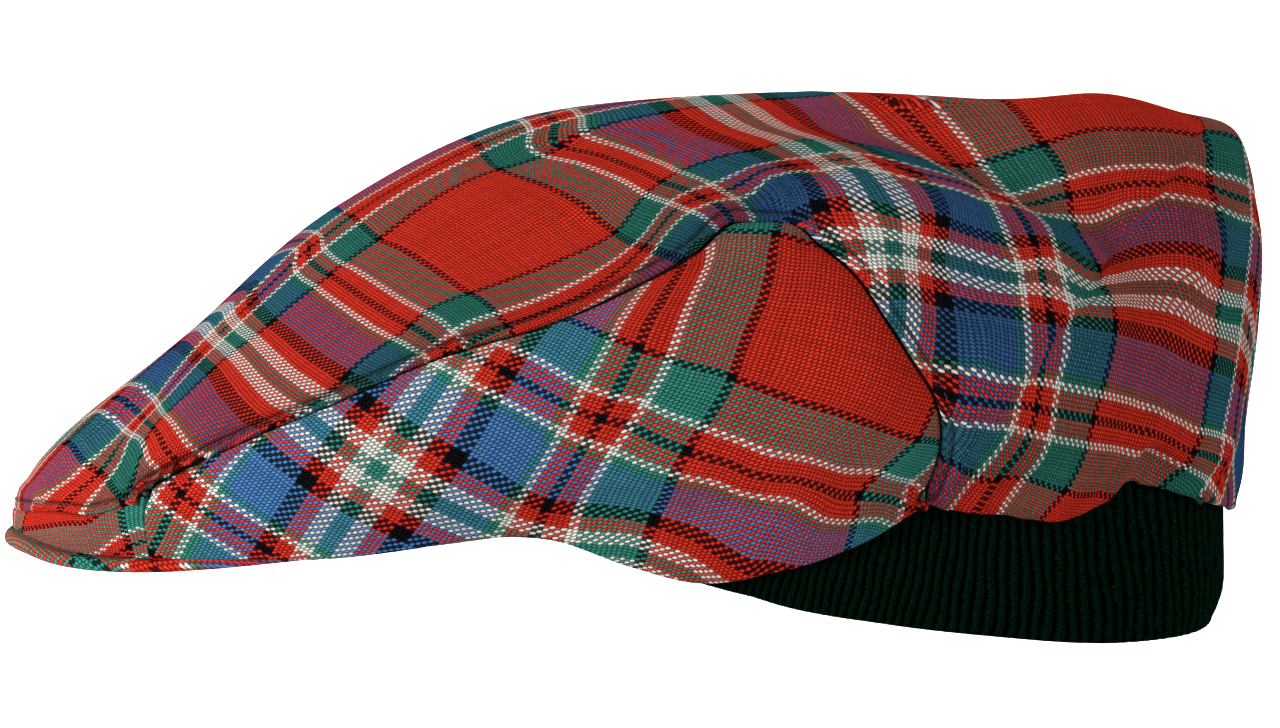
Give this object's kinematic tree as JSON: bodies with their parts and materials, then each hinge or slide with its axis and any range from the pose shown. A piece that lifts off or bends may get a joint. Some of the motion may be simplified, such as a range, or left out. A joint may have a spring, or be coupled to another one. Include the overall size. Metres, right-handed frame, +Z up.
{
  "type": "flat cap with a knitted ear flap",
  "caption": "Soft flat cap in tartan cloth with a stiff cloth-covered visor and a ribbed knitted flap that hangs over the ears and neck.",
  "frame": {"origin": "the centre of the head opening, in the plane of the crown's rim, where a head holds the cap up", "axes": "+Z up towards the top of the crown, -Y forwards towards the visor, +X towards the wearer's left"},
  "size_m": [0.1984, 0.2746, 0.1153],
  "materials": {
    "tartan_wool": "matt plain-woven wool in a red, green, blue, black and white tartan",
    "rib_knit": "matt one-by-one rib knit, very dark green"
  },
  "bodies": {
    "root": {"top_panel": "tartan_wool", "side_panel_left": "tartan_wool", "side_panel_right": "tartan_wool", "front_band": "tartan_wool", "visor": "tartan_wool", "knit_band": "rib_knit"}
  },
  "joints": []
}
